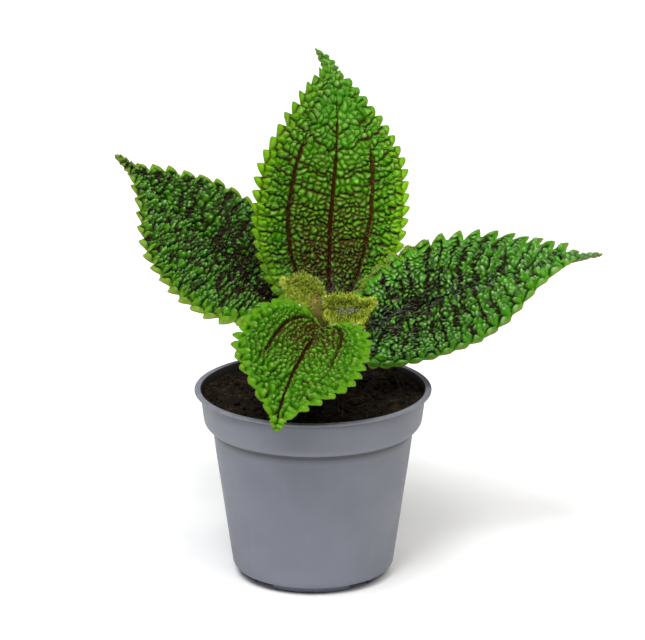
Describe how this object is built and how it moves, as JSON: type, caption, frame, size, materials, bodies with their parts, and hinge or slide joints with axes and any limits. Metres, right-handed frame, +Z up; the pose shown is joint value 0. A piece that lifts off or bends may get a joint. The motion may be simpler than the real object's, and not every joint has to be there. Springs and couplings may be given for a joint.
{
  "type": "potted friendship plant",
  "caption": "Low foliage plant with quilted, toothed, hairy leaves in crossed pairs and a small unfolding pair, standing in the soil of a round tapered plastic nursery pot.",
  "frame": {"origin": "bottom centre of the whole plant's box, on the surface that the pot stands on", "axes": "+Z up, from the pot's foot to the leaf tips; -Y towards the front, where the front leaf hangs over the lip; +X to the right as seen from the front"},
  "size_m": [0.187, 0.1542, 0.1918],
  "materials": {
    "pot_plastic": "matte blue-grey moulded polypropylene",
    "soil": "loose dark peat and bark soil",
    "stem": "soft hairy olive stem",
    "leaf_bright": "soft quilted leaf, bright green with maroon veins",
    "leaf_dark": "soft quilted leaf, dark green with maroon veins",
    "leaf_young": "small yellow-green leaf, densely hairy"
  },
  "bodies": {
    "root": {"pot": "pot_plastic", "soil": "soil", "stem": "stem", "leaf_back": "leaf_bright", "leaf_front": "leaf_bright", "leaf_left": "leaf_dark", "leaf_right": "leaf_dark", "young_leaf_left": "leaf_young", "young_leaf_right": "leaf_young"}
  },
  "joints": []
}
